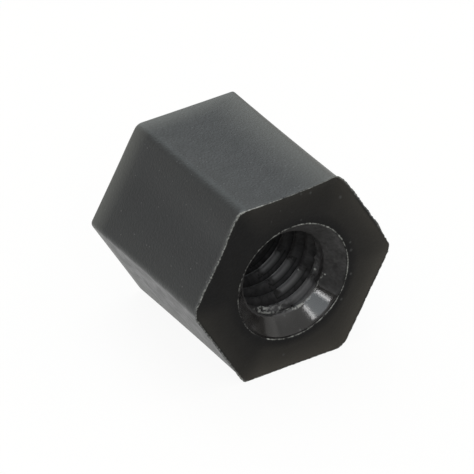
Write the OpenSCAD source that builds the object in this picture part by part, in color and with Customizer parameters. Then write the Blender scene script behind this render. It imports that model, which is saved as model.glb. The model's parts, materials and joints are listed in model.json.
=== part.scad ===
// Female hex standoff, lying on one of its flats.
// The tapped hole runs along Y, the front end faces -Y and Z is up.
// The origin is under the middle of the body, on the surface that it lies on.
// All sizes are in millimetres.

/* [Hexagonal body] */
// Width across the flats
across_flats = 7; // [6.4:0.1:12]
// Length over the two end faces
body_len = 7; // [4:0.5:40]
// Radius of the six long corners
corner_r = 0.5; // [0.1:0.05:1]
// Width of the chamfer that breaks the rim of the back end
rim_chamfer = 0.12; // [0.04:0.02:0.3]

/* [Threaded hole] */
// Nominal diameter of the thread
thread_d = 4; // [2.5:0.5:4.5]
// Pitch of the thread
thread_pitch = 0.7; // [0.4:0.05:0.8]

/* [Countersinks] */
// How far the mouth of each countersink stands outside the thread, all round
sink_over = 0.2; // [0.1:0.05:0.4]
// Included angle of the countersinks
sink_angle = 90; // [60:5:120]

/* [Finish] */
// Facets on a full circle
facets = 96; // [48:12:144]

/* [Hidden] */
$fn = facets;

sides = 6;
side_step = 360 / sides;

// Hexagon: half the width across the flats, and where the corner arcs have their centres
apothem = across_flats / 2;
corner_centre = (apothem - corner_r) / cos(side_step / 2);

// Hole: the tap drill leaves a wall at the nominal diameter less one pitch
bore_r = (thread_d - thread_pitch) / 2;
sink_r = thread_d / 2 + sink_over;
sink_depth = (sink_r - bore_r) / tan(sink_angle / 2);

// Cutters run past the faces that they open by this much
overrun = 1;

function polar(r, a) = [r * cos(a), r * sin(a)];

// Hexagon with round corners: flats joined by the arcs that they are tangent to
module rounded_hexagon() {
    polygon([
        for (i = [0 : sides - 1])
            for (turn = [-side_step / 2, side_step / 2])
                polar(corner_centre, i * side_step) + polar(corner_r, i * side_step + turn)
    ]);
    for (i = [0 : sides - 1])
        translate(polar(corner_centre, i * side_step))
            circle(r = corner_r);
}

// Bar that cuts the chamfer along the back edge of the flat that faces +X
module rim_cutter() {
    bar_len = 2 * (corner_centre + corner_r) + overrun;
    reach = rim_chamfer + overrun;
    rotate([90, 0, 0])
        translate([apothem, body_len])
            linear_extrude(bar_len, center = true)
                polygon([[-reach, overrun], [overrun, -reach], [overrun, overrun]]);
}

// Cone that opens one end of the hole, its mouth at z = 0 and its tip end upwards
module countersink() {
    flare = overrun * tan(sink_angle / 2);
    translate([0, 0, -overrun])
        cylinder(r1 = sink_r + flare, r2 = bore_r, h = sink_depth + overrun);
}

// The standoff upright, with its front end at z = 0
module upright_body() {
    difference() {
        linear_extrude(body_len) rounded_hexagon();
        for (i = [0 : sides - 1])
            rotate([0, 0, (i + 0.5) * side_step]) rim_cutter();
        translate([0, 0, -overrun])
            cylinder(r = bore_r, h = body_len + 2 * overrun);
        countersink();
        translate([0, 0, body_len]) mirror([0, 0, 1]) countersink();
    }
}

module standoff() {
    color([0.20, 0.20, 0.21])
        translate([0, -body_len / 2, apothem])
            rotate([-90, 0, 0])
                upright_body();
}

standoff();
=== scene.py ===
import json
import math

import bpy
import numpy as np
from mathutils import Matrix, Vector


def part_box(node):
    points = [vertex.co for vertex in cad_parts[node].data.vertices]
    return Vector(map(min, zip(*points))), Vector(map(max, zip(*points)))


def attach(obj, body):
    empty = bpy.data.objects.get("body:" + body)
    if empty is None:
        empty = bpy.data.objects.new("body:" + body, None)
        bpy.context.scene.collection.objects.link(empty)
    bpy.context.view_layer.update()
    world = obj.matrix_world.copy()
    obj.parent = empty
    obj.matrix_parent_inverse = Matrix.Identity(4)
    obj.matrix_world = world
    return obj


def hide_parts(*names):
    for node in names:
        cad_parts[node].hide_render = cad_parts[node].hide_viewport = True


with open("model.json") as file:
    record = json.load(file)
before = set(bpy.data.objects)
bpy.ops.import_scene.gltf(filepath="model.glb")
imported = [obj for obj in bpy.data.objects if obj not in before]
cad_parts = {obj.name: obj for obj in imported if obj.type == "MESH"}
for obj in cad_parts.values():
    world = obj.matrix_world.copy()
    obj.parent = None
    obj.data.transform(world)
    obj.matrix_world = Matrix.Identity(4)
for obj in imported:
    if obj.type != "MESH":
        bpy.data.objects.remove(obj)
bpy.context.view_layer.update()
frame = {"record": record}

# a female hex standoff of black nylon, lying on a flat, with its threaded hole along Y
# lengths are in millimetres here, and in metres once a mesh, a lamp or the camera is made
mm = 0.001
lowCorner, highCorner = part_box("standoff")
bodyLength = (highCorner.y - lowCorner.y) / mm
acrossFlats = (highCorner.z - lowCorner.z) / mm
axisHeight = acrossFlats / 2
halfWidth = highCorner.x / mm
threadMount = next(mount for mount in frame["record"]["mounts"] if mount["name"] == "thread_front")
boreRadius = threadMount["dims"]["r_mm"]
print(f"frame: {acrossFlats:.2f} mm across flats, {bodyLength:.2f} mm long, bore {2 * boreRadius:.2f} mm")

lookFrom = {
    "azimuth": -31.877,  # degrees, 0 looks along +Y
    "elevation": 32.845,  # degrees above the floor
    "roll": -0.822,  # degrees
    "aim": (-0.091, 0.0, 3.4315),  # the point in the middle of the picture
    "distance": 251.25,
    "lens": 547.5,
    "sensorWidth": 36,
    "nearest": 0.01,  # metres, nothing nearer to the camera is seen
}


# unit vector (sin a cos e, -cos a cos e, sin e) for azimuth a and elevation e
def directionOf(azimuth, elevation):
    a, e = math.radians(azimuth), math.radians(elevation)
    return Vector((math.sin(a) * math.cos(e), -math.cos(a) * math.cos(e), math.sin(e)))


# the camera stands at the distance from the aim, looks back at it, and is rolled about its view
def addCamera(settings):
    data = bpy.data.cameras.new("benchCamera")
    data.lens = settings["lens"]
    data.sensor_width = settings["sensorWidth"]
    data.clip_start = settings["nearest"]
    camera = bpy.data.objects.new("benchCamera", data)
    bpy.context.scene.collection.objects.link(camera)
    away = directionOf(settings["azimuth"], settings["elevation"])
    place = (Vector(settings["aim"]) + away * settings["distance"]) * mm
    turn = (-away).to_track_quat("-Z", "Y").to_matrix().to_4x4()
    roll = Matrix.Rotation(math.radians(settings["roll"]), 4, "Z")
    camera.matrix_world = Matrix.Translation(place) @ turn @ roll
    bpy.context.scene.camera = camera


addCamera(lookFrom)
print("camera placed")

# corners are counted from the one at +X, upwards and round, and flats from the one after it
# angles round an axis are in degrees from +X, and depths are below the cut face at the front
# a window is its first and last value, and the lengths over which it rises and falls
standoffShape = {
    "columns": 300,              # grid columns round the body, a multiple of 6
    "rimColumns": 3,             # times as many columns in the ragged front rim
    "bunching": 0.5,             # how far the columns crowd towards the corners, 0 to 1
    "flatPlay": 0.0125,          # how far the flats lie inside their nominal width
    "hollow": 0.015,             # hollow along the middle of each flat
    "hollowAtEnds": 0.3,         # share of it that the two ends of the body have
    "bow": 0.019,                # how much slimmer the body is at mid length
    "narrowing": 0.042,          # how much slimmer it is at the back end
    "cornerFront": (0.42, 0.63, 0.55, 0.42, 0.34, 0.60),  # radius of each corner at the front
    "cornerBack": (0.44, 0.14, 0.38, 0.24, 0.20, 0.40),
    "leastCorner": 0.02,         # least radius of a corner, however far it is set in
    "flatBlend": 0.24,           # share of a flat's angle in which its values change to the next's
    # a ridge that stands out to one side: its angle, spread, and how far at the front and the back
    "fullRidge": (129, 10, 0.095, 0.012),
    "sideRows": 18,              # even rows of points along the flats
    "faceRows": 9,               # and across each end face
    "faceRecess": 0.02,          # how far the cut face lies below the top of its burr
    "backRim": 0.11,             # radius of the soft rim at the back end
    "backRimRows": (22, 45, 68),  # degrees round that rim

    # burr round the front face: how far it leans out over each flat, and how white it is there, partly
    # torn plastic and partly painted light on the bottom and right flats
    "burrLean": (0.092, 0.008, 0.090, 0.074, 0.012, 0.030),
    "burrWhiteAndPaintedLight": (0.5, 0.68, 0.72, 0.62, 0.85, 0.6),
    "burrWhiteCorner": (114, 9, 0.5),  # more of it about one corner: angle, spread and amount
    # where it is knocked back, or leans out more: angle, spread and depth
    "burrDents": ((4, 8, 0.085), (118, 6, -0.09)),
    "burrHeight": 0.02,
    "burrWidth": 0.05,
    "burrMargin": 0.06,          # between its foot and the last even ring of the face
    # its inner and its outer ring, as shares of its lean, its width and its height
    "burrProfile": ((0.6, 0.3, 1), (1, 0, 0.6)),
    "burrFlare": 0.16,           # length of flat that bends out to meet it
    "flareRows": (0.15, 0.35, 0.6, 1.0),  # shares of that length
    "flareWhite": 0.6,           # share of the burr's whiteness that it begins with
    "flatsFrom": 1.5,            # where the even rows begin, in lengths of the flare
    "footWhite": 0.1,            # whiteness of the face at its foot
    "burrRagged": (0.3, 0.7, 0.5, 0.3, 0.8, 0.6),  # share of its size that comes and goes
    "burrNoise": ((0.6, 330, 7), (0.4, 80, 8)),  # shares, knots and seeds of two noises
    "burrRoom": 0.001,           # how far it stays inside the nominal sizes
    # the front face's chipped corner: its angle, how far it spreads before it and after it, and
    # its depth
    "chip": (59, 7.5, 14, 0.25),
    "chipSlope": 2.2,            # how steeply the face falls to it, 1 if it begins at the mouth

    # hole
    "holeDrop": 0.06,            # the hole's axis is this far below the hexagon's
    "mouthRadius": 2.225,
    "mouthEdge": (0.05, 0.03),   # depth of the edge above the countersink's cone, and its rounding
    "backEdge": (0.01, 0.04),    # depth and width of the edge round the back mouth
    "backEdgeWhite": 0.4,
    "lipHeight": 0.016,          # ragged lip round the countersink's mouth
    "lipWidth": 0.075,
    "lipProfile": ((0, 0, 0.6), (0.35, 1, 1), (1, 0, 0.3)),  # shares of width, height, whiteness
    "lipRagged": (0.4, 110, 3),  # share of its height that comes and goes, knots and seed
    "lipWhite": 0.66,
    "lipWhiteSide": (0.12, 0.9),  # more towards one side: amount, and angle in radians
    "lipWhiteBelow": (0.2, 270, 50),  # more at the bottom: amount, angle and spread
    "lipWhiteBeads": (0.18, 70, 4),  # the share that comes and goes, knots and seed
    "faceFrom": 2,               # where the even rings of the face begin, in widths of the lip
    "pitch": 0.7,
    "rowsPerTurn": 20,
    "rowMargin": 0.006,          # rows as near to an end's mouth as this fall onto it
    "rootRadius": 2.0,
    "rootFlat": 0.125,           # width of the root's flat and of the crest's, in pitches
    "crestFlat": 0.25,
    "threadSoftness": 0.25,      # rounding of the thread's corners
    "threadStart": 14.6,         # degrees, where a root's middle reaches the front face
    "threadFrom": 0.62,          # depth at which the thread begins to show in a countersink
    "threadWhole": 1.25,         # depth from which it has its full height
    "coneFoot": (0.55, 0.2),     # where the countersink turns into the bore: depth and length

    # torn lip at the front countersink's foot: its window of angles, and where its strength
    # changes, by angle, degrees and amount
    "tornArc": (204, 350, 36, 12),
    "tornSteps": ((272, 8, 0.35), (297, 7, -0.8)),
    "tornWidest": (250, 22),     # where it is widest, and that part's spread
    "tornDepth": (0.61, 0.50),   # depth of its thin part, and how much deeper its widest part is
    "tornWidth": (0.045, 0.24),  # the same for its width
    "tornWander": (0.04, 70, 11),  # how far its depth wanders, knots and seed
    "tornFlakes": (0.95, 1.3, 0.1, 1.4),  # its strength: mean, share of the noise, least and most
    "scraps": 0.7,               # share of the broader of the two noises that make the flakes
    "tornHeight": 0.04,
    "tornInCone": 0.2,           # share of that height in the countersink
    "tornFoot": 0.1,             # length over which it rises to the whole height
    "hazeAngle": (267, 16),      # the haze next to it: its middle and its spread
    "hazeDepth": (1.0, 0.38),
    "hazeFlakes": (0.62, 0.5, 0, 1.1),  # its strength, given as the lip's is
    # crumbs that cling to the thread: angle, depth and size
    "crumbs": ((325, 1.78, 0.07), (339, 1.03, 0.10), (352, 1.20, 0.09), (341, 0.53, 0.06)),
    "crumbWhite": 1.5,           # how much more torn they look than the lip

    # where the tools left the wall smooth, in an arc near the mouth and in another one deeper in:
    # the angle it starts at, how many degrees on it moves, from what depth and over what length
    "smoothNear": (176, 76, 0.48, 0.12),
    "smoothDeep": (284, 6, 2.0, 0.5),
    "smoothDepth": (1.5, 0.15),  # depth at which the second arc takes over, and how ragged that is
    "smoothEnd": 330,            # the angle at which both end
    "smoothRagged": 4,           # degrees by which the arcs' ends wander in the bore
    "smoothEnds": (0.5, 11),     # degrees over which they go dull in the cone, and more in the bore
    "smoothConeEnd": 4,          # degrees by which the first ends sooner in the cone
    "smoothLast": (3.85, 0.4),   # depth at which they have ended, and the length that takes
    "smoothFirst": 1.0,          # down to this depth the whole thread is smooth in them
    "burnish": (0.16, 0.8, 0.26, 0.1),  # and below it this window of a turn after each root
    # dull spots in them: how dull, by how much and from where the noise makes them, and the angle
    # where they have ended and the degrees that takes
    "smoothSpots": (0.8, 1.3, 0.35, 294, 12),
    # knots round the wall, their spacing along it and the seed, for each noise on the wall
    "wallNoises": {
        "edges": (150, 0.06, 5), "spots": (110, 0.07, 6),
        "flakes": (170, 0.05, 12), "scraps": (60, 0.11, 13),
        "clouds": (60, 0.16, 21), "grit": (200, 0.05, 22),
    },

    # paleness, 0 to 1: along each ridge, a painted reflection; of the outer edges of the front face by
    # each flat, a painted glare; and of the soft rim at the back end
    "ridgePaintedReflection": (0.9, 1.1, 0.1, 0.15, 1.0, 0.9),
    "facePaintedGlare": (0.55, 0.3, 0.0, 0.35, 1.0, 0.9),
    "faceFade": (0.3, 4),        # share of it near the hole, and how fast it begins at the lip
    "backPaintedHighlight": 1.45,            # length of the flats that grow paler towards the back rim: a painted highlight
    "backFacePale": 0.5,
    # paleness of the smooth wall: of its crests, worn and with a painted highlight, of the haze, and of
    # a painted sheen and a painted highlight
    "crestWearAndPaintedHighlight": 1.0,
    "crestFrom": (0.57, 0.08),   # depth at which it begins, and the length that takes
    "crestFade": (1.15, 0.14),   # what it is at the face, and what it loses in each millimetre, a painted shade deeper in
    "hazePale": 0.6,
    "leftPaintedSheen": (0.1, 240, 40),  # painted sheen on the left: amount, where it has ended and the degrees that takes
    # a painted highlight on the first turn, in a window of angles and one of depths
    "firstTurnPaintedHighlight": 0.85,
    "firstTurnAngle": (284, 328, 12, 10),
    "firstTurnDepth": (0.58, 1.15, 0.1, 0.2),
    # paleness of the dull wall: everywhere, in the haze, and a painted reflection in the countersink on
    # one side, as an amount, the angle of its middle and its spread
    "dullPale": 0.125,
    "dullHaze": 0.18,
    "dullConePaintedReflection": (0.10, 15, 40),
    # the depth from which that fades, over what length, how much longer before its middle than
    # past it, and the degrees past it where this ends and how many that takes
    "dullConeFade": (0.35, 0.35, 1.5, 20, 30),
    # at its mouth: the least, how much more about an angle past that middle, the angle and its
    # spread, and the depth it reaches
    "dullMouth": (0.05, 0.13, 22, 25, 0.15),
    # painted light in the bore to the right, most in the roots: the angle past that middle and its
    # spread; the least, how much more about a depth, the depth and its spread, where it begins and the
    # length that takes; and its share at a root, how much less away from it, and the turns that takes
    "dullRightAngle": (-28, 32),
    "dullRightDepth": (0.06, 0.42, 1.18, 0.2, 0.6, 0.2),
    "dullRightRoot": (1.6, 0.8, 0.35),
    # painted light on the flanks to the left: amount, where it begins in turns from a root and how many
    # that takes, and its window of angles; then the same of a painted highlight in the middle, where it is
    # even
    "dullLeftPaintedFlankLight": (0.14, 0.2, 0.2),
    "dullLeftAngle": (180, 300, 20, 20),
    "dullMiddlePaintedHighlight": 0.09,
    "dullMiddleAngle": (276, 334, 12, 10),
    "blotches": (0.35, 0.8),     # share of the two noises in it, and how much more on the right
}


# eased step: 3 x^2 - 2 x^3 for x between 0 and 1
def ease(x):
    x = np.clip(x, 0, 1)
    return x * x * (3 - 2 * x)


# 1 between two values of x, eased up past the first and down before the last
def between(x, first, last, rise, fall):
    return ease((x - first) / rise) * ease((last - x) / fall)


# bell curve: exp(-((x - middle) / spread)^2)
def bell(x, middle, spread):
    return np.exp(-((x - middle) / spread) ** 2)


# random curve round the circle: random knots, each joined to the next by an eased step
def ringNoise(angles, knots, seed):
    values = np.random.default_rng(seed).uniform(-1, 1, knots)
    place = (angles / (2 * np.pi)) % 1 * knots
    first = np.floor(place).astype(int) % knots
    blend = ease(place - np.floor(place))
    return values[first] * (1 - blend) + values[(first + 1) % knots] * blend


# random surface over the hole's wall: knots round it, and rows of knots one step of depth apart,
# each joined to the next by an eased step
def wallNoise(angles, depth, name):
    knots, step, seed = standoffShape["wallNoises"][name]
    rows = 64
    values = np.random.default_rng(seed).uniform(-1, 1, (knots, rows))
    place, row = (angles / (2 * np.pi)) % 1 * knots, np.clip(depth / step, 0, rows - 2)
    first, near = np.floor(place).astype(int) % knots, np.floor(row).astype(int)
    across, along = ease(place - np.floor(place)), ease(row - near)
    upper = values[first, near] * (1 - across) + values[(first + 1) % knots, near] * across
    lower = values[first, near + 1] * (1 - across) + values[(first + 1) % knots, near + 1] * across
    return upper * (1 - along) + lower * along


# columns' angles: 60 (u - b sin(2 pi u) / 2 pi) degrees, crowded where u is whole, at the corners
def columnAngles(count):
    u = np.arange(count) * 6 / count
    crowd = standoffShape["bunching"] * np.sin(2 * np.pi * u) / (2 * np.pi)
    return np.radians(60 * (u - crowd))


# one value for each corner, taken by the columns nearest to it
def byCorner(values, angles):
    return np.array(values)[np.round(np.degrees(angles) / 60).astype(int) % 6]


# one value for each flat, eased from one to the next round the corner between them
def byFlat(values, angles):
    place = np.degrees(angles) / 60 - 0.5
    first = np.floor(place).astype(int)
    width = standoffShape["flatBlend"]
    blend = ease((place - first - (1 - width) / 2) / width)
    values = np.array(values)
    return values[first % 6] * (1 - blend) + values[(first + 1) % 6] * blend


# radius of a hexagon with round corners, d from the nearest corner's angle:
# on the flat, apothem / cos(30 - d); on the arc of radius r about c = (apothem - r) / cos 30,
# c cos d + sqrt(r^2 - c^2 sin^2 d), as far as the point where the arc meets the flat
def hexagonRadius(angles, apothem, corner):
    d = np.abs((angles + np.pi / 6) % (np.pi / 3) - np.pi / 6)
    centre = (apothem - corner) / math.cos(np.pi / 6)
    meeting = np.arctan2(corner / 2, centre + corner * math.cos(np.pi / 6))
    onArc = centre * np.cos(d) + np.sqrt(np.maximum(corner ** 2 - (centre * np.sin(d)) ** 2, 0))
    return np.where(d < meeting, onArc, apothem / np.cos(np.pi / 6 - d))


# the body's outline at y: the apothem is the nominal one less the play, a hollow that grows as
# 1 - t^2 from a flat's edges, a waist that grows as 1 - v^2 from the ends, and an even narrowing;
# the corners' radii change evenly along the body, and one ridge stands out by a bell curve
def bodyOutline(angles, y, inset=0.0):
    shape = standoffShape
    v = 2 * y / bodyLength
    t = np.tan(angles % (np.pi / 3) - np.pi / 6) / math.tan(np.pi / 6)
    waist, nearFront, nearBack = 1 - v ** 2, (1 - v) / 2, (1 + v) / 2
    atEnds = shape["hollowAtEnds"]
    apothem = acrossFlats / 2 - shape["flatPlay"] - shape["bow"] * waist - inset
    apothem = apothem - shape["hollow"] * (1 - t ** 2) * (atEnds + (1 - atEnds) * waist)
    apothem = apothem - shape["narrowing"] * nearBack
    corner = byCorner(shape["cornerFront"], angles) * nearFront
    corner = corner + byCorner(shape["cornerBack"], angles) * nearBack
    corner = np.maximum(corner - inset, shape["leastCorner"])
    middle, spread, front, back = shape["fullRidge"]
    full = (front * nearFront + back * nearBack) * bell(np.degrees(angles), middle, spread)
    return hexagonRadius(angles, apothem, corner) + full


# a ring about an axis along Y: x = r cos a, z = height + r sin a; each of its points also has a
# whiteness, a paleness and a dullness, which is 0 outside the hole
def ring(angles, radius, y, height, white=0.0, pale=0.0):
    every = np.ones_like(angles)
    x, z = radius * np.cos(angles), height + radius * np.sin(angles)
    return np.stack([x, y * every, z, white * every, pale * every, 0 * every], -1)


# how deep the front face is chipped: exp(-a^2) before the corner and exp(-a) after it, with a
# counted in spreads
def chipDepth(angles):
    corner, before, after, depth = standoffShape["chip"]
    past = np.degrees(angles) - corner
    return depth * np.where(past < 0, np.exp(-(past / before) ** 2), np.exp(-past / after))


# the lip round the front mouth: rings by its profile, with a height that comes and goes with
# noise, and a whiteness that is even, plus a cosine of the angle, a bell curve of it and noise
def lipRings(angles, front, holeHeight):
    shape = standoffShape
    ragged, knots, seed = shape["lipRagged"]
    height = shape["lipHeight"] * (1 - ragged + ragged * ringNoise(angles, knots, seed))
    amount, side = shape["lipWhiteSide"]
    beads = shape["lipWhite"] + amount * np.cos(angles - side)
    amount, bottom, spread = shape["lipWhiteBelow"]
    beads = beads + amount * bell(np.degrees(angles), bottom, spread)
    amount, knots, seed = shape["lipWhiteBeads"]
    beads = beads + amount * ringNoise(angles, knots, seed)
    mouth, width = shape["mouthRadius"], shape["lipWidth"]
    return [
        ring(angles, mouth + width * out, front - height * up, holeHeight, white * beads)
        for out, up, white in shape["lipProfile"]]


# from the countersink's mouth over its lip and the cut face to the foot of the burr: the face is
# blended evenly from its inner ring to its outer one and eased down into the chip
def frontFaceRings(angles, fineAngles):
    shape = standoffShape
    front = shape["faceRecess"] - bodyLength / 2
    holeHeight = axisHeight - shape["holeDrop"]
    rings = lipRings(angles, front, holeHeight)
    # the face's paleness is a painted glare that grows towards its outer edge and the foot of the burr
    pale, (least, rise) = shape["facePaintedGlare"], shape["faceFade"]
    mouth = shape["mouthRadius"] + shape["lipWidth"] * shape["faceFrom"]
    inner = ring(angles, mouth, front, holeHeight)
    rim = bodyOutline(angles, front, shape["burrWidth"] + shape["burrMargin"])
    outer = ring(angles, rim, front, axisHeight)
    for share in np.linspace(0, 1, shape["faceRows"]):
        level = inner * (1 - share) + outer * share
        level[:, 1] += chipDepth(angles) * ease(1 - (1 - share) * shape["chipSlope"])
        level[:, 4] = byFlat(pale, angles) * (least + (1 - least) * share ** 2) * ease(share * rise)
        rings.append(level)
    foot = bodyOutline(fineAngles, front, shape["burrWidth"])
    y = front + chipDepth(fineAngles)
    rings.append(ring(fineAngles, foot, y, axisHeight, shape["footWhite"], byFlat(pale, fineAngles)))
    return rings


# painted reflection on the flats: (1 - d)^2 with d 0 on a ridge and 1 mid flat, or a painted
# highlight eased up to the back rim
def ridgePaleness(angles, y):
    fromRidge = (1 - np.abs((np.degrees(angles) + 30) % 60 - 30) / 30) ** 2
    ridges = byCorner(standoffShape["ridgePaintedReflection"], angles) * fromRidge
    length = standoffShape["backPaintedHighlight"]
    backEnd = ease((y - bodyLength / 2 + length) / length) ** 2
    return np.maximum(ridges, backEnd)


# the burr's lean, height and whiteness round the rim: each flat's own, made to come and go by
# noise, with a bell curve for each dent and for the whiter corner, and kept inside the box
def burrSizes(angles, edge):
    shape = standoffShape
    degrees = np.degrees(angles)
    noise = sum(share * ringNoise(angles, knots, seed) for share, knots, seed in shape["burrNoise"])
    ragged = 1 + byFlat(shape["burrRagged"], angles) * noise
    lean = byFlat(shape["burrLean"], angles) * ragged
    for middle, spread, dent in shape["burrDents"]:
        lean = lean - dent * bell((degrees - middle + 180) % 360, 180, spread)
    toBox = 1 / np.maximum(np.abs(np.cos(angles)) / halfWidth, np.abs(np.sin(angles)) / axisHeight)
    lean = np.minimum(lean, toBox - edge - shape["burrRoom"])
    middle, spread, more = shape["burrWhiteCorner"]
    # the whiteness is torn plastic, raised on the bottom and right flats as painted light on the burr's
    # shaded side
    white = byFlat(shape["burrWhiteAndPaintedLight"], angles) + more * bell(degrees, middle, spread)
    return lean, shape["burrHeight"] * np.clip(ragged, 0, 1), white


# a ring of the body's side, with the painted reflection and highlight that its ridges have at y
def sideRing(angles, radius, y, white=0.0):
    return ring(angles, radius, y, axisHeight, white, ridgePaleness(angles, y))


# up the burr, down its flare and along the flats to the soft rim at the back end: on the flare
# the lean falls as (1 - ease)^1.5 and the whiteness as (1 - share)^3, and the rim is an arc
def sideRings(angles, fineAngles):
    shape = standoffShape
    back = bodyLength / 2
    front = shape["faceRecess"] - back + chipDepth(fineAngles)
    edge = bodyOutline(fineAngles, front)
    lean, height, white = burrSizes(fineAngles, edge)
    pale = ridgePaleness(fineAngles, front)
    rings = []
    for out, inset, up in shape["burrProfile"]:
        radius = edge + lean * out - shape["burrWidth"] * inset
        rings.append(ring(fineAngles, radius, front - height * up, axisHeight, white, pale))
    for share in shape["flareRows"]:
        y = front + shape["burrFlare"] * share
        radius = bodyOutline(fineAngles, y) + lean * (1 - ease(share)) ** 1.5
        fading = shape["flareWhite"] * white * (1 - share) ** 3
        rings.append(sideRing(fineAngles, radius, y, fading))
    start = shape["faceRecess"] - back + shape["burrFlare"] * shape["flatsFrom"]
    end = back - shape["backRim"]
    for share in np.linspace(0, 1, shape["sideRows"]):
        y = start * (1 - share) + end * share + chipDepth(angles) * (1 - share)
        rings.append(sideRing(angles, bodyOutline(angles, y), y))
    for turn in np.radians(shape["backRimRows"]):
        y = end + shape["backRim"] * math.sin(turn)
        radius = bodyOutline(angles, y, shape["backRim"] * (1 - math.cos(turn)))
        rings.append(sideRing(angles, radius, y))
    return rings


# from the soft rim over the back face to the mouth of its countersink, blended evenly
def backFaceRings(angles):
    shape = standoffShape
    back = bodyLength / 2
    holeHeight = axisHeight - shape["holeDrop"]
    edgeDepth, edgeWidth = shape["backEdge"]
    rim = bodyOutline(angles, back, shape["backRim"])
    outer = ring(angles, rim, back, axisHeight, 0, shape["backFacePale"])
    inner = ring(angles, shape["mouthRadius"] + edgeWidth, back, holeHeight)
    rings = [outer * (1 - share) + inner * share for share in np.linspace(0, 1, shape["faceRows"])]
    y = back - edgeDepth
    rings.append(ring(angles, shape["mouthRadius"], y, holeHeight, shape["backEdgeWhite"]))
    return rings


# how far from the nearest root, for a phase that is the share of a turn past one
def fromRoot(phase):
    return np.abs((phase + 0.5) % 1 - 0.5)


# the thread's radius: crest, 60 degree flank and root, written as clip(a, 0, 1) with soft
# corners, (a + sqrt(a^2 + w^2)) / 2 less the same of a - 1
def threadRadius(phase):
    shape = standoffShape
    crestEdge = (1 - shape["crestFlat"]) / 2
    a = (crestEdge - fromRoot(phase)) / (crestEdge - shape["rootFlat"] / 2)
    w = shape["threadSoftness"]
    rise = (a + np.sqrt(a ** 2 + w ** 2)) / 2
    fall = (a - 1 + np.sqrt((a - 1) ** 2 + w ** 2)) / 2
    return boreRadius + (shape["rootRadius"] - boreRadius) * (rise - fall)


# 0 in the front countersink and 1 in the bore, eased at the foot between them
def inBore(depth):
    start, length = standoffShape["coneFoot"]
    return ease((depth - start) / length)


# the haze next to the torn lip: a bell curve of the angle times one of the depth
def hazeSpot(degrees, depth):
    return bell(degrees, *standoffShape["hazeAngle"]) * bell(depth, *standoffShape["hazeDepth"])


# how far the tap tore the wall: a bell curve of the depth about a wandering band, times an arc
# with eased ends and steps, times flakes of noise; or where they are more, the haze with flakes
# and a bell curve round each crumb
def tornWall(angles, depth):
    shape = standoffShape
    degrees = np.degrees(angles)
    arc = 1 + sum(change * ease((degrees - at) / length) for at, length, change in shape["tornSteps"])
    arc = arc * between(degrees, *shape["tornArc"])
    wide = bell(degrees, *shape["tornWidest"])
    wander, knots, seed = shape["tornWander"]
    centre = shape["tornDepth"][0] + shape["tornDepth"][1] * wide
    centre = centre + wander * ringNoise(angles, knots, seed)
    width = shape["tornWidth"][0] + shape["tornWidth"][1] * wide
    flakes = wallNoise(angles, depth, "flakes") + shape["scraps"] * wallNoise(angles, depth, "scraps")
    strength, hazeStrength = (
        np.clip(mean + share * flakes, least, most)
        for mean, share, least, most in (shape["tornFlakes"], shape["hazeFlakes"]))
    torn = arc * bell(depth, centre, width) * strength
    torn = np.maximum(torn, hazeSpot(degrees, depth) * hazeStrength)
    for angle, place, size in shape["crumbs"]:
        away = np.hypot(boreRadius * np.radians(degrees - angle), depth - place)
        torn = np.maximum(torn, shape["crumbWhite"] * bell(away, 0, size / 2))
    return torn


# how far the tap burnished the thread, 0 to 1: a window behind each root, eased at both ends
def burnish(phase):
    return between(phase % 1, *standoffShape["burnish"])


# how smooth the tools left the wall, 0 to 1: a window of the angle that wanders with noise in the
# bore and whose start moves on with depth, less where noise makes dull spots, and eased out deep in
def smoothArc(angles, depth):
    shape = standoffShape
    bore = inBore(depth)
    edges = wallNoise(angles, depth, "edges")
    degrees = np.degrees(angles) + shape["smoothRagged"] * edges * bore
    near, deep = (
        start + more * ease((depth - since) / length)
        for start, more, since, length in (shape["smoothNear"], shape["smoothDeep"]))
    change, ragged = shape["smoothDepth"]
    start = np.where(depth < change + ragged * edges, near, deep)
    end = shape["smoothEnd"] - shape["smoothConeEnd"] * (1 - bore)
    width = shape["smoothEnds"][0] + shape["smoothEnds"][1] * bore
    amount, share, more, last, length = shape["smoothSpots"]
    spots = ease(share * wallNoise(angles, depth, "spots") + more)
    spots = amount * spots * ease((last - degrees) / length) * bore
    last, length = shape["smoothLast"]
    reached = ease((last - depth) / length) * (1 - spots)
    return between(degrees, start, end, width, width) * reached


# paleness of the smooth wall: the most of the burnished crests, worn and with a painted highlight,
# which lose it evenly with depth as painted shade, the haze, and a painted sheen, which is eased on
# the left, and a painted highlight in a window on the first turn
def smoothPaleness(angles, depth, phase, arc):
    shape = standoffShape
    degrees = np.degrees(angles)
    (start, length), (atFace, loss) = shape["crestFrom"], shape["crestFade"]
    crest = shape["crestWearAndPaintedHighlight"] * burnish(phase) * ease((depth - start) / length) * arc
    crest = crest * np.clip(atFace - loss * depth, 0, 1)
    amount, last, length = shape["leftPaintedSheen"]
    turn = between(degrees, *shape["firstTurnAngle"]) * between(depth, *shape["firstTurnDepth"])
    paintedSheen = amount * ease((last - degrees) / length) + shape["firstTurnPaintedHighlight"] * turn
    return np.maximum(np.maximum(crest, shape["hazePale"] * hazeSpot(degrees, depth)), paintedSheen)


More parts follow.
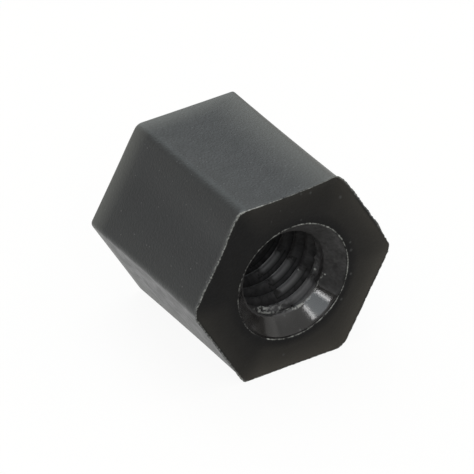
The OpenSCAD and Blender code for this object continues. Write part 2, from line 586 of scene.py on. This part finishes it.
# paleness of the dull wall: the same all over, plus painted light in bell curves in the countersink and
# on the right of the bore and in windows on its left and in its middle, all blotched by noise; or the haze
def dullPaleness(angles, depth, phase):
    shape = standoffShape
    degrees, root = np.degrees(angles), fromRoot(phase)
    amount, middle, spread = shape["dullConePaintedReflection"]
    aside = (degrees - middle + 180) % 360 - 180
    start, length, more, last, over = shape["dullConeFade"]
    length = length + more * ease((last - aside) / over)
    cone = amount * bell(aside, 0, spread) * (1 - ease((depth - start) / length))
    least, more, middle, spread, reach = shape["dullMouth"]
    cone = cone + (least + more * bell(aside, middle, spread)) * bell(depth, 0, reach)
    least, more, middle, spread, start, length = shape["dullRightDepth"]
    right = bell(aside, *shape["dullRightAngle"]) * (least + more * bell(depth, middle, spread))
    atRoot, less, over = shape["dullRightRoot"]
    right = right * ease((depth - start) / length) * (atRoot - less * ease(root / over))
    amount, start, length = shape["dullLeftPaintedFlankLight"]
    left = amount * between(degrees, *shape["dullLeftAngle"]) * ease((root - start) / length)
    middle = shape["dullMiddlePaintedHighlight"] * between(degrees, *shape["dullMiddleAngle"])
    least, more = shape["blotches"]
    noise = wallNoise(angles, depth, "clouds") + wallNoise(angles, depth, "grit")
    dull = (shape["dullPale"] + cone + right + middle + left) * (1 + (least + more * right) * noise)
    return np.maximum(dull, shape["dullHaze"] * hazeSpot(degrees, depth))


# rows follow a right-handed helix, y = front + pitch (row - angle / turn), and the radius at a
# point is the widest of the two countersinks' cones and the thread, less what the torn lip fills;
# a cone's radius falls as its depth grows, from the rounded edge of its mouth
def holeRows(angles):
    shape = standoffShape
    front, back = shape["faceRecess"] - bodyLength / 2, bodyLength / 2 - shape["backEdge"][0]
    rowCount = int(math.ceil(((back - front) / shape["pitch"] + 1) * shape["rowsPerTurn"])) + 2
    row = np.arange(rowCount)[:, None] / shape["rowsPerTurn"]
    turn = angles[None, :] / (2 * np.pi)
    y = front + shape["pitch"] * (row - turn)
    depth, nearest = y - front, np.minimum(y - front, back - y)
    phase = row - shape["threadStart"] / 360
    whole = ease((nearest - shape["threadFrom"]) / (shape["threadWhole"] - shape["threadFrom"]))
    edge, rounding = shape["mouthEdge"]
    cone = shape["mouthRadius"] - (nearest - edge + np.hypot(nearest - edge, rounding)) / 2
    radius = np.maximum(cone, boreRadius + whole * (threadRadius(phase) - boreRadius))
    torn, inCone = tornWall(angles, depth), shape["tornInCone"]
    raised = inCone + (1 - inCone) * ease((depth - shape["threadFrom"]) / shape["tornFoot"])
    radius = radius - shape["tornHeight"] * np.minimum(torn, 1) * raised
    arc = smoothArc(angles, depth)
    smooth = arc * np.maximum(burnish(phase), depth < shape["smoothFirst"])
    pale = np.where(
        smooth > 0, smoothPaleness(angles, depth, phase, arc), dullPaleness(angles, depth, phase))
    height = axisHeight - shape["holeDrop"]
    x, z = radius * np.cos(angles), height + radius * np.sin(angles)
    points = np.stack([x, y, z, torn, pale, (1 - smooth) * inBore(depth)], -1)
    margin = shape["rowMargin"]
    return points, y <= front + margin, y >= back - margin, smooth > 0


# polygons between two rings of point numbers, one of which may have a whole number of times
# as many points as the other, so that each of its edges faces several of the finer ring's
def bridge(first, second):
    if len(first) == len(second):
        return np.stack([first, second, np.roll(second, -1), np.roll(first, -1)], 1)
    fine, coarse = (first, second) if len(first) > len(second) else (second, first)
    times = len(fine) // len(coarse)
    ladder = np.stack([np.roll(fine, -step)[::times] for step in range(times + 1)], 1)
    near, far = coarse[:, None], np.roll(coarse, -1)[:, None]
    if fine is first:
        return np.hstack([far, ladder[:, ::-1], near])
    return np.hstack([near, ladder, far])


# the whole surface as points, blocks of polygons with as many corners each, and their finishes:
# rings joined from the front mouth to the back one, and the hole's rows between the two mouths
def buildStandoff():
    shape = standoffShape
    angles = columnAngles(shape["columns"])
    fineAngles = columnAngles(shape["columns"] * shape["rimColumns"])
    sections = [frontFaceRings(angles, fineAngles), sideRings(angles, fineAngles), backFaceRings(angles)]
    rings = [level for section in sections for level in section]
    finishes = np.repeat([1, 0, 1], [len(section) for section in sections])[:-1]
    starts = np.cumsum([0] + [len(level) for level in rings])
    numbers = [np.arange(a, b) for a, b in zip(starts[:-1], starts[1:])]
    blocks = [bridge(first, second) for first, second in zip(numbers[:-1], numbers[1:])]

    # the hole's rows that lie past an end fall onto the points of that end's mouth
    points, pastFront, pastBack, smooth = holeRows(angles)
    grid = starts[-1] + np.arange(pastFront.size).reshape(pastFront.shape)
    grid = np.where(pastFront, numbers[0], grid)
    grid = np.where(pastBack, numbers[-1], grid)
    turnRows = shape["rowsPerTurn"]
    beside = np.roll(grid, -1, axis=1)
    beside[turnRows:, -1] = grid[:-turnRows, 0]             # a turn on, the helix is a pitch lower
    beside[:turnRows, -1] = numbers[0][0]
    quads = np.stack([grid[:-1], beside[:-1], beside[1:], grid[1:]], -1)
    for part, finish in ((smooth[:-1], 2), (~smooth[:-1], 3)):
        partQuads = quads[part]
        repeated = partQuads == np.roll(partQuads, -1, axis=1)
        cut = repeated.sum(1) == 1
        blocks += [partQuads[repeated.sum(1) == 0], partQuads[cut][~repeated[cut]].reshape(-1, 3)]
        finishes = [*finishes, finish, finish]
    return np.concatenate(rings + [points.reshape(-1, 6)]), blocks, finishes


# the mesh of those points and blocks, with the points' three values as attributes of it
def addPiece(name, points, blocks, finishes, materials):
    used, corners = np.unique(np.concatenate([block.ravel() for block in blocks]), return_inverse=True)
    sizes = np.concatenate([np.full(len(block), block.shape[1]) for block in blocks])
    slots = np.repeat(finishes, [len(block) for block in blocks])
    points = points[used]
    mesh = bpy.data.meshes.new(name)
    mesh.vertices.add(len(points))
    mesh.vertices.foreach_set("co", (points[:, :3] * mm).ravel())
    mesh.loops.add(len(corners))
    mesh.loops.foreach_set("vertex_index", corners.ravel())
    mesh.polygons.add(len(sizes))
    mesh.polygons.foreach_set("loop_start", np.cumsum(sizes) - sizes)
    mesh.polygons.foreach_set("material_index", slots)
    mesh.polygons.foreach_set("use_smooth", np.ones(len(sizes), bool))
    for place, label in ((3, "whitening"), (4, "paleness"), (5, "dullness")):
        attribute = mesh.attributes.new(label, "FLOAT", "POINT")
        attribute.data.foreach_set("value", points[:, place].astype(np.float32))
    for material in materials:
        mesh.materials.append(material)
    mesh.update(calc_edges=True)
    mesh.validate(verbose=True)
    piece = bpy.data.objects.new(name, mesh)
    bpy.context.scene.collection.objects.link(piece)
    print(f"{name}: {len(points)} points, {int((sizes - 2).sum())} triangles")
    return piece


# colours are linear, sizes in millimetres and relief heights in thousandths of one
nylonLook = {
    "white": (0.33, 0.335, 0.32),  # plastic that a tool has torn
    "whiteGrain": 0.09,
    "whiteRange": (0.45, 1.25),  # amounts at which whitening begins and is whole
    "patchDetail": {"Patch": 3.0, "Grain": 1.0},
    "patchRange": (0.3, 0.7),  # values of noise that become 0 and 1
    "bareCells": 0.6,  # share of the cells that have no speck of dust
    "speckSize": 0.55,  # sizes of the others' specks, in cells
    "leastSpeck": 0.001,
}

# colours, roughness, that where it is pale and what dullness adds, gloss, and the sizes and
# reliefs of patches, grain, tool marks and dust
nylonFinishes = {
    "nylonSkin": {
        "deep": (0.0165, 0.0180, 0.0185), "light": (0.0225, 0.0250, 0.0255),
        # pale is the colour of the painted reflection and highlight on the flats
        "pale": (0.090, 0.093, 0.086), "dust": (0.12, 0.123, 0.126),
        "roughness": (0.36, 0.47), "paleRoughness": 0.42, "dulling": 0, "specular": 0.36,
        "patch": 0.5, "grain": 0.085, "grainRelief": 4.0, "marks": 0.2, "marksRelief": 0.0,
        "dustSpacing": 0.17,
    },
    "nylonCutEndPaintedShade": {
        # deep and light are far darker than the skin's, a painted shade on the end faces; pale is the
        # colour of the painted glare
        "deep": (0.0046, 0.0044, 0.0045), "light": (0.0072, 0.0070, 0.0071),
        "pale": (0.048, 0.044, 0.038), "dust": (0.05, 0.05, 0.05),
        "roughness": (0.62, 0.72), "paleRoughness": 0.67, "dulling": 0, "specular": 0.12,
        "patch": 0.4, "grain": 0.08, "grainRelief": 4.0, "marks": 0.12, "marksRelief": 0.8,
        "dustSpacing": 0.4,
    },
    "nylonTapped": {
        "deep": (0.0070, 0.0060, 0.0052), "light": (0.0130, 0.0118, 0.0122),
        "pale": (0.130, 0.127, 0.130), "dust": (0.07, 0.07, 0.07),
        "roughness": (0.13, 0.17), "paleRoughness": 0.5, "dulling": 0.7, "specular": 0.5,
        "patch": 0.3, "grain": 0.06, "grainRelief": 0.4, "marks": 0.06, "marksRelief": 0.3,
        "dustSpacing": 0.35,
    },
    "nylonDullHole": {
        "deep": (0.0052, 0.0047, 0.0046), "light": (0.0108, 0.0100, 0.0100),
        "pale": (0.130, 0.127, 0.130), "dust": (0.045, 0.042, 0.043),
        "roughness": (0.62, 0.72), "paleRoughness": 0.67, "dulling": 0, "specular": 0.12,
        "patch": 0.25, "grain": 0.06, "grainRelief": 4.0, "marks": 0.12, "marksRelief": 0.8,
        "dustSpacing": 0.13,
    },
}


# a node with its inputs linked or set by name or number, and its own settings
def addNode(tree, kind, inputs=None, **settings):
    node = tree.nodes.new(kind)
    for key, value in settings.items():
        setattr(node, key, value)
    for key, value in (inputs or {}).items():
        if isinstance(value, bpy.types.NodeSocket):
            tree.links.new(value, node.inputs[key])
        else:
            node.inputs[key].default_value = value
    return node


# the result of one Math node
def calculate(tree, operation, *values):
    return addNode(tree, "ShaderNodeMath", dict(enumerate(values)), operation=operation).outputs[0]


# the first colour where the factor is 0 and the second where it is 1
def mixColors(tree, factor, first, second):
    colors = {0: factor, 6: first, 7: (*second, 1)}
    return addNode(tree, "ShaderNodeMix", colors, data_type="RGBA").outputs[2]


# an empty node group that is given a place and numbers, and puts out numbers
def newGroup(name, given, results):
    tree = bpy.data.node_groups.new(name, "ShaderNodeTree")
    tree.interface.new_socket("Place", in_out="INPUT", socket_type="NodeSocketVector")
    for way, labels in (("INPUT", given), ("OUTPUT", results)):
        for label in labels:
            tree.interface.new_socket(label, in_out=way, socket_type="NodeSocketFloat")
    return tree, tree.nodes.new("NodeGroupInput").outputs, tree.nodes.new("NodeGroupOutput").inputs


# cloudy patches and fine grain, both noise stretched from 0 to 1
def buildGrainGroup():
    tree, given, result = newGroup("nylonGrain", ("Patch", "Grain"), ("Patches", "Grain"))
    low, high = nylonLook["patchRange"]
    for (label, detail), out in zip(nylonLook["patchDetail"].items(), ("Patches", "Grain")):
        scale = calculate(tree, "DIVIDE", 1 / mm, given[label])
        noise = addNode(tree, "ShaderNodeTexNoise",
                        {"Vector": given["Place"], "Scale": scale, "Detail": detail})
        spread = addNode(tree, "ShaderNodeMapRange",
                         {0: noise.outputs[0], 1: low, 2: high}, interpolation_type="SMOOTHSTEP")
        tree.links.new(spread.outputs[0], result[out])
    return tree


# specks of dust: a cell whose random number is over the bare share has a round one, the larger
# the more it is over
def buildDustGroup():
    tree, given, result = newGroup("looseDust", ("Spacing",), ("Specks",))
    scale = calculate(tree, "DIVIDE", 1 / mm, given["Spacing"])
    cells = addNode(tree, "ShaderNodeTexVoronoi", {"Vector": given["Place"], "Scale": scale})
    chance = addNode(tree, "ShaderNodeSeparateColor", {0: cells.outputs["Color"]})
    over = calculate(tree, "SUBTRACT", chance.outputs[0], nylonLook["bareCells"])
    size = calculate(tree, "MULTIPLY", over, nylonLook["speckSize"])
    size = calculate(tree, "MAXIMUM", size, nylonLook["leastSpeck"])
    speck = addNode(tree, "ShaderNodeMapRange",
                    {0: cells.outputs["Distance"], 1: size, 2: 0.0, 3: 0.0, 4: 1.0})
    tree.links.new(speck.outputs[0], result["Specks"])
    return tree


# torn plastic: the amount that the mesh gives, times twice a fine noise, stretched from 0 to 1
def buildWhiteningGroup():
    tree, given, result = newGroup("tornWhitening", ("Amount",), ("Torn",))
    scale = 1 / (nylonLook["whiteGrain"] * mm)
    noise = addNode(tree, "ShaderNodeTexNoise",
                    {"Vector": given["Place"], "Scale": scale, "Detail": 2.0})
    twice = calculate(tree, "MULTIPLY", noise.outputs[0], 2.0)
    broken = calculate(tree, "MULTIPLY", given["Amount"], twice)
    low, high = nylonLook["whiteRange"]
    torn = addNode(tree, "ShaderNodeMapRange", {0: broken, 1: low, 2: high})
    tree.links.new(torn.outputs[0], result["Torn"])
    return tree


# rings that a turning tool leaves: noise along the distance from the hole's axis
def buildMarksGroup():
    tree, given, result = newGroup("toolMarks", ("Spacing",), ("Marks",))
    axis = (0, 0, (axisHeight - standoffShape["holeDrop"]) * mm)
    away = addNode(tree, "ShaderNodeVectorMath", {0: given["Place"], 1: axis}, operation="SUBTRACT")
    across = addNode(tree, "ShaderNodeVectorMath", {0: away.outputs[0], 1: (1, 0, 1)}, operation="MULTIPLY")
    distance = addNode(tree, "ShaderNodeVectorMath", {0: across.outputs[0]}, operation="LENGTH")
    scale = calculate(tree, "DIVIDE", 1 / mm, given["Spacing"])
    noise = addNode(tree, "ShaderNodeTexNoise", noise_dimensions="1D",
                    inputs={"W": distance.outputs["Value"], "Scale": scale, "Detail": 2.0})
    tree.links.new(noise.outputs[0], result["Marks"])
    return tree


# one finish: shades by patch and grain under pale places, which are wear and painted light, and dusty
# and torn places, rougher where it is dull, with a fine relief of grain and tool marks
def buildNylon(name, look, groups):
    material = bpy.data.materials.new(name)
    material.use_nodes = True
    tree = material.node_tree
    tree.nodes.clear()
    place = addNode(tree, "ShaderNodeTexCoord").outputs["Object"]
    white = addNode(tree, "ShaderNodeAttribute", attribute_name="whitening").outputs["Fac"]
    pale = addNode(tree, "ShaderNodeAttribute", attribute_name="paleness").outputs["Fac"]
    sizes = {
        "grain": {"Patch": look["patch"], "Grain": look["grain"]},
        "dust": {"Spacing": look["dustSpacing"]},
        "whitening": {"Amount": white},
        "marks": {"Spacing": look["marks"]},
    }
    grain, dust, torn, marks = (
        addNode(tree, "ShaderNodeGroup", node_tree=groups[effect], inputs={"Place": place, **given})
        for effect, given in sizes.items())

    shade = calculate(tree, "MULTIPLY", grain.outputs["Patches"], 0.5)
    shade = calculate(tree, "MULTIPLY_ADD", grain.outputs["Grain"], 0.5, shade)
    color = mixColors(tree, shade, (*look["deep"], 1), look["light"])
    color = mixColors(tree, pale, color, look["pale"])
    color = mixColors(tree, dust.outputs["Specks"], color, look["dust"])
    color = mixColors(tree, torn.outputs["Torn"], color, nylonLook["white"])
    low, high = look["roughness"]
    roughness = calculate(tree, "MULTIPLY_ADD", grain.outputs["Patches"], high - low, low)
    dullness = addNode(tree, "ShaderNodeAttribute", attribute_name="dullness").outputs["Fac"]
    worn = addNode(tree, "ShaderNodeMix", {0: pale, 2: roughness, 3: look["paleRoughness"]},
                   data_type="FLOAT")
    worn = calculate(tree, "MULTIPLY_ADD", dullness, look["dulling"], worn.outputs[0])
    relief = calculate(tree, "MULTIPLY", grain.outputs["Grain"], look["grainRelief"] * mm * mm)
    relief = calculate(tree, "MULTIPLY_ADD", marks.outputs["Marks"], look["marksRelief"] * mm * mm, relief)
    bump = addNode(tree, "ShaderNodeBump", {"Height": relief, "Distance": 1.0})
    shader = addNode(tree, "ShaderNodeBsdfPrincipled", {
        "Base Color": color, "Roughness": worn, "Normal": bump.outputs[0],
        "Specular IOR Level": look["specular"]})
    addNode(tree, "ShaderNodeOutputMaterial", {0: shader.outputs[0]})
    return material


groups = {
    "grain": buildGrainGroup(),
    "dust": buildDustGroup(),
    "whitening": buildWhiteningGroup(),
    "marks": buildMarksGroup(),
}
finishes = [buildNylon(name, look, groups) for name, look in nylonFinishes.items()]
print("materials made")

standoff = addPiece("standoffBody", *buildStandoff(), finishes)
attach(standoff, "root")
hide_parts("standoff")

studio = {
    "floorSize": 3.0,
    "floorColor": (0.96, 0.955, 0.90),
    "floorWhite": 0.92,          # share of plain white in the floor that the camera sees
    # the room behind the bench, low in front of it and high in front of it
    "room": ((0.66, 0.64, 0.64), (0.22, 0.215, 0.20), (0.95, 0.95, 0.93)),
    "roomHeights": (0.34, 0.66),  # sines of the elevations where low and high end
    "roomDepths": (-0.25, 0.25),  # the same for the front and the back
    # azimuth and elevation in degrees, distance and size in metres, brightness as seen, colour
    "lamps": {
        "overheadBox": (150, 68, 0.6, 0.5, 1.36, (0.93, 1, 1.01)),
        "backPanel": (168, 28, 0.6, 0.42, 1.12, (0.85, 1.0, 1.05)),
        "leftLamp": (-40, 22.5, 0.3, 0.025, 18.5, (1, 1, 1)),
        "rightLamp": (-14, 44.5, 0.3, 0.025, 24.0, (1, 1, 1)),
        "cameraGlow": (-28, 33, 0.32, 0.15, 2.4, (0.86, 0.94, 1)),
        "frontCard": (-7, 11, 0.35, 0.17, 1.0, (0.97, 0.98, 1)),
        "sideCard": (67, 25, 0.35, 0.13, 0.7, (1, 0.99, 0.97)),
    },
}


# a round lamp that faces the standoff, with an energy of pi times its brightness and its area
def addLamp(name, azimuth, elevation, distance, size, brightness, color):
    data = bpy.data.lights.new(name, "AREA")
    data.shape = "DISK"
    data.size = size
    data.energy = brightness * math.pi * (math.pi * size * size / 4)
    data.color = color
    lamp = bpy.data.objects.new(name, data)
    bpy.context.scene.collection.objects.link(lamp)
    away = directionOf(azimuth, elevation)
    lamp.location = away * distance + Vector((0, 0, axisHeight * mm))
    lamp.rotation_euler = away.to_track_quat("Z", "Y").to_euler()


# 1 for rays from the camera and for those that a glossy or clear surface sends on
def seenDirectly(tree):
    path = addNode(tree, "ShaderNodeLightPath")
    glossy = calculate(tree, "MAXIMUM", path.outputs["Is Camera Ray"], path.outputs["Is Glossy Ray"])
    return calculate(tree, "MAXIMUM", glossy, path.outputs["Is Transmission Ray"])


# a square floor, matt for the light and partly plain white for the eye
def addFloor(size, color, whiteShare):
    half = size / 2
    mesh = bpy.data.meshes.new("floor")
    corners = [(-half, -half, 0), (half, -half, 0), (half, half, 0), (-half, half, 0)]
    mesh.from_pydata(corners, [], [(0, 1, 2, 3)])
    floor = bpy.data.objects.new("floor", mesh)
    bpy.context.scene.collection.objects.link(floor)
    material = bpy.data.materials.new("paleFloor")
    material.use_nodes = True
    tree = material.node_tree
    tree.nodes.clear()
    paint = addNode(tree, "ShaderNodeBsdfDiffuse", {"Color": (*color, 1)})
    plain = addNode(tree, "ShaderNodeEmission", {"Color": (1, 1, 1, 1), "Strength": 1.0})
    share = calculate(tree, "MULTIPLY", seenDirectly(tree), whiteShare)
    mix = addNode(tree, "ShaderNodeMixShader", {0: share, 1: paint.outputs[0], 2: plain.outputs[0]})
    addNode(tree, "ShaderNodeOutputMaterial", {0: mix.outputs[0]})
    mesh.materials.append(material)


# the room: its colour is eased from low to high by the direction's Z, which is the sine of its
# elevation, and from the front to the back by its Y
def setWorld(behind, lowInFront, highInFront):
    world = bpy.data.worlds.new("studio")
    bpy.context.scene.world = world
    world.use_nodes = True
    tree = world.node_tree
    tree.nodes.clear()
    direction = addNode(tree, "ShaderNodeTexCoord").outputs["Generated"]
    parts = addNode(tree, "ShaderNodeSeparateXYZ", {0: direction})
    height, depth = (
        addNode(tree, "ShaderNodeMapRange", {0: part, 1: low, 2: high}, interpolation_type="SMOOTHSTEP")
        for part, (low, high) in (
            (parts.outputs[2], studio["roomHeights"]), (parts.outputs[1], studio["roomDepths"])))
    inFront = mixColors(tree, height.outputs[0], (*lowInFront, 1), highInFront)
    color = mixColors(tree, depth.outputs[0], inFront, behind)
    light = addNode(tree, "ShaderNodeBackground", {"Strength": 1.0, "Color": color})
    addNode(tree, "ShaderNodeOutputWorld", {0: light.outputs[0]})


setWorld(*studio["room"])
addFloor(studio["floorSize"], studio["floorColor"], studio["floorWhite"])
for name, lamp in studio["lamps"].items():
    addLamp(name, *lamp)
bpy.context.scene.view_settings.view_transform = "Standard"
print("studio lit")
